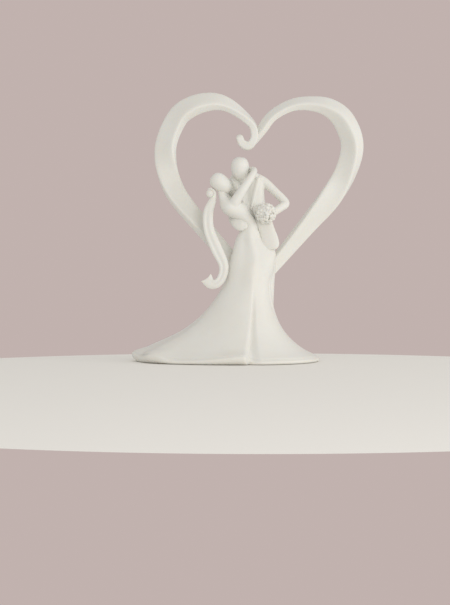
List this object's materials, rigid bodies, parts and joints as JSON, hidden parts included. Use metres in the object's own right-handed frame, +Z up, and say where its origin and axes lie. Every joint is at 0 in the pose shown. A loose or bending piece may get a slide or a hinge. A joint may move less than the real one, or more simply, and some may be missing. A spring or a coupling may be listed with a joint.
{
  "type": "heart cake topper",
  "caption": "White bisque porcelain cake topper: a dancing couple in front of an open heart of two curled ribbons, standing on the flared hem of a long gown.",
  "frame": {"origin": "on the flat underside of the gown, under the waist, where the topper stands", "axes": "+Z up, the front looks along -Y, +X to the viewer's right"},
  "size_m": [0.1299, 0.0696, 0.1508],
  "materials": {
    "bisque": "matte unglazed bisque"
  },
  "bodies": {
    "root": {"gown_skirt": "bisque", "bride_bodice": "bisque", "bride_head": "bisque", "bride_right_arm": "bisque", "bride_left_arm": "bisque", "hair_knot": "bisque", "hair_tail": "bisque", "groom_trousers": "bisque", "groom_jacket": "bisque", "groom_shirt_front": "bisque", "groom_left_lapel": "bisque", "groom_right_lapel": "bisque", "groom_jacket_tail": "bisque", "groom_neck": "bisque", "groom_head": "bisque", "groom_left_sleeve": "bisque", "groom_left_hand": "bisque", "groom_right_sleeve": "bisque", "groom_right_hand": "bisque", "heart_left_ribbon": "bisque", "heart_right_ribbon": "bisque", "bouquet_core": "bisque", "blossom_01": "bisque", "blossom_02": "bisque", "blossom_03": "bisque", "blossom_04": "bisque", "blossom_05": "bisque", "blossom_06": "bisque", "blossom_07": "bisque", "blossom_08": "bisque", "blossom_09": "bisque", "blossom_10": "bisque", "blossom_11": "bisque", "blossom_12": "bisque", "blossom_13": "bisque", "blossom_14": "bisque", "blossom_15": "bisque", "blossom_16": "bisque", "blossom_17": "bisque", "blossom_18": "bisque", "blossom_19": "bisque", "blossom_20": "bisque", "blossom_21": "bisque", "blossom_22": "bisque", "blossom_23": "bisque"}
  },
  "joints": []
}
